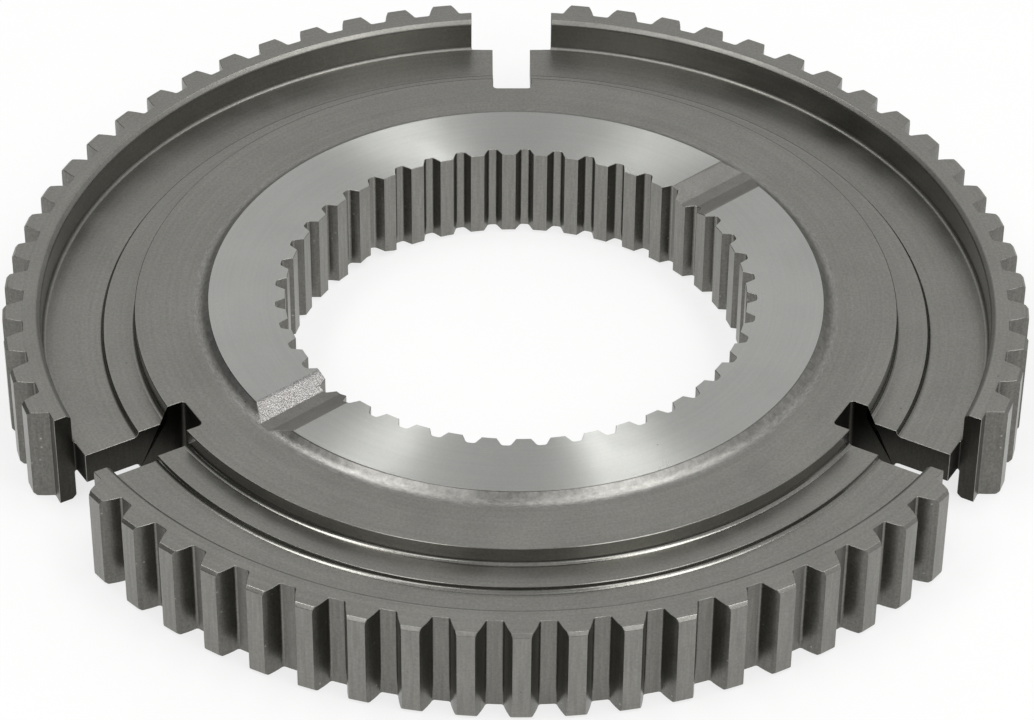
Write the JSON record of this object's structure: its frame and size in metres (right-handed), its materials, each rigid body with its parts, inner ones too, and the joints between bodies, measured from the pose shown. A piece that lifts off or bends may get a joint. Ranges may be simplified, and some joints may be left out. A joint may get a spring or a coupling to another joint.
{
  "type": "synchronizer hub",
  "caption": "Steel synchronizer hub with a toothed rim, T-shaped key slots, a stepped web and a splined bore in a raised boss.",
  "frame": {"origin": "the hub's axis at the rim's lower face", "axes": "+Z along the hub's axis, towards the boss face shown in the picture; -Y is the front; one key slot points along +Y"},
  "size_m": [0.16, 0.1593, 0.0164],
  "materials": {
    "hub_steel": "matt grey heat-treated steel, finely turned, with a lighter ground boss face"
  },
  "bodies": {
    "root": {"synchronizer_hub": "hub_steel"}
  },
  "joints": []
}
